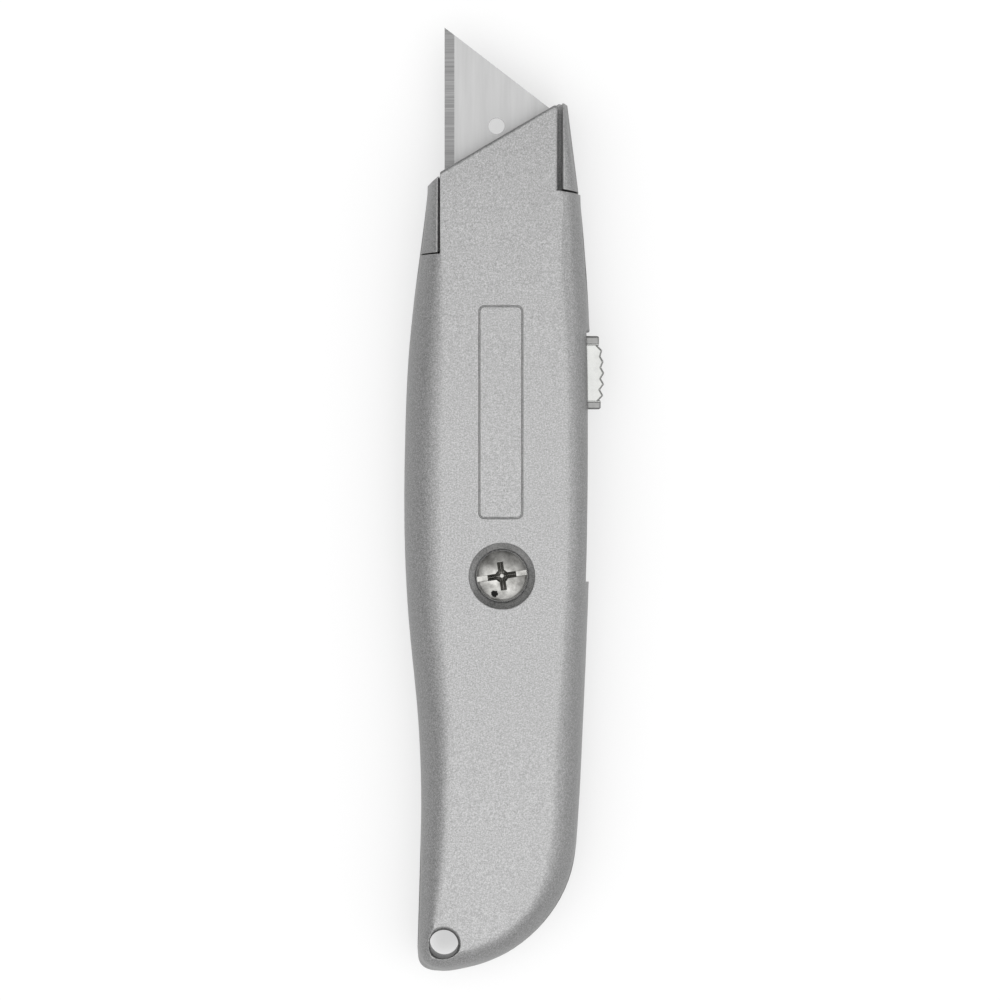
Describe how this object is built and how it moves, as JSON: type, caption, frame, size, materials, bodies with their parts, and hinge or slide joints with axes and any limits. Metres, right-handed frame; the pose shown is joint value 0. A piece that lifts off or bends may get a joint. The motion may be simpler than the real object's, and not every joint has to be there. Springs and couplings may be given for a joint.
{
  "type": "utility knife",
  "caption": "Retractable utility knife with a curved two-piece die-cast handle, a sliding thumb button, a trapezoid blade and spare blades stored inside.",
  "frame": {"origin": "on the casing screw's axis, on the flat outer face of the right casing that the knife lies on", "axes": "+Y from the handle to the blade's point, +X from the cutting edge to the thumb button, +Z from the right casing up to the left casing with the screw's head"},
  "size_m": [0.0359, 0.1695, 0.018],
  "materials": {
    "casting": "fine sandy silver paint on zinc casting",
    "screw": "bright nickel plate",
    "blade": "ground carbon steel",
    "carrier": "zinc-plated pressed steel",
    "spring": "spring steel",
    "rivet": "plated rivet steel",
    "button": "polished zinc casting"
  },
  "bodies": {
    "handle": {"right_casing": "casting", "spare_blade_1": "blade", "spare_blade_2": "blade", "spare_blade_3": "blade", "spare_blade_4": "blade", "spare_blade_5": "blade"},
    "cover": {"left_casing": "casting"},
    "screw": {"casing_screw": "screw"},
    "slider": {"cutting_blade": "blade", "blade_carrier": "carrier", "front_blade_peg": "carrier", "rear_blade_peg": "carrier", "leaf_spring": "spring", "front_spring_rivet": "rivet", "rear_spring_rivet": "rivet"},
    "button": {"thumb_button": "button", "button_rivet": "rivet"}
  },
  "joints": [
    {"name": "blade_slide", "type": "slide", "parent": "handle", "child": "slider", "axis": [0, 1, 0], "range_m": [-0.0305, 0], "deforming": ["leaf_spring"]},
    {"name": "button_press", "type": "slide", "parent": "slider", "child": "button", "axis": [-1, 0, 0], "range_m": [0, 0.0015], "stiffness_N_per_m": 3000, "springref_m": -0.0008, "deforming": ["leaf_spring"]},
    {"name": "casing_lift", "type": "slide", "parent": "handle", "child": "cover", "axis": [0, 0, 1], "range_m": [0, 0.025]},
    {"name": "screw_turn", "type": "hinge", "parent": "cover", "child": "screw", "pos_m": [0, 0, 0.009], "axis": [0, 0, 1], "continuous": true}
  ]
}
